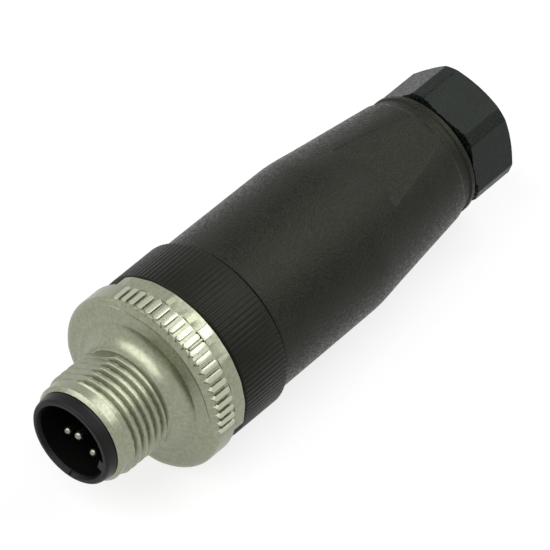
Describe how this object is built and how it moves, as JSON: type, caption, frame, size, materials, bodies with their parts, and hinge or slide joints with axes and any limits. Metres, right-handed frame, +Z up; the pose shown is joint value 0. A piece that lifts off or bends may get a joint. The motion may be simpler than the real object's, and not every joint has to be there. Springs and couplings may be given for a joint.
{
  "type": "M12 cable connector, straight plug, field wireable",
  "caption": "Straight M12 cable plug with pin contacts, a turning coupling screw, a knurled ring, a screw-on sleeve and a cable gland.",
  "frame": {"origin": "centre of the shroud's rim, the mating face at the front of the plug", "axes": "+X along the plug's axis from the mating face to the cable gland, +Z up with the plug lying on its side"},
  "size_m": [0.0618, 0.0206, 0.0206],
  "materials": {
    "insulator": "smooth black moulding",
    "contacts": "plated brass, silvery",
    "steel": "plain",
    "nickel": "satin nickel on zinc die casting",
    "black_plastic": "fine-grained black moulding",
    "rubber": "smooth",
    "cage_plastic": "smooth"
  },
  "bodies": {
    "insert": {"contact_carrier": "insulator", "contact_pin_1": "contacts", "contact_pin_2": "contacts", "contact_pin_3": "contacts", "contact_pin_4": "contacts", "contact_pin_5": "contacts", "terminal_screws": "steel", "knurled_ring": "black_plastic"},
    "coupling": {"coupling_screw": "nickel", "retaining_clip": "steel"},
    "sleeve_slide": {"sleeve_seal": "rubber"},
    "sleeve": {"sleeve": "black_plastic", "cable_seal": "rubber"},
    "gland_slide": {"clamp_cage": "cage_plastic"},
    "gland": {"gland_nut": "black_plastic"}
  },
  "joints": [
    {"name": "coupling_turn", "type": "hinge", "parent": "insert", "child": "coupling", "pos_m": [0.012, 0, 0], "axis": [1, 0, 0], "continuous": true},
    {"name": "sleeve_travel", "type": "slide", "parent": "insert", "child": "sleeve_slide", "axis": [1, 0, 0], "range_m": [0, 0.005]},
    {"name": "sleeve_turn", "type": "hinge", "parent": "sleeve_slide", "child": "sleeve", "pos_m": [0.03, 0, 0], "axis": [1, 0, 0], "range_deg": [0, 1800]},
    {"name": "gland_travel", "type": "slide", "parent": "sleeve", "child": "gland_slide", "axis": [1, 0, 0], "range_m": [0, 0.0045]},
    {"name": "gland_turn", "type": "hinge", "parent": "gland_slide", "child": "gland", "pos_m": [0.058, 0, 0], "axis": [1, 0, 0], "range_deg": [0, 1080]}
  ],
  "couplings": [
    {"joint": "sleeve_turn", "follows": "sleeve_travel", "rad_per_m": 6283.2},
    {"joint": "gland_turn", "follows": "gland_travel", "rad_per_m": 4188.8}
  ]
}
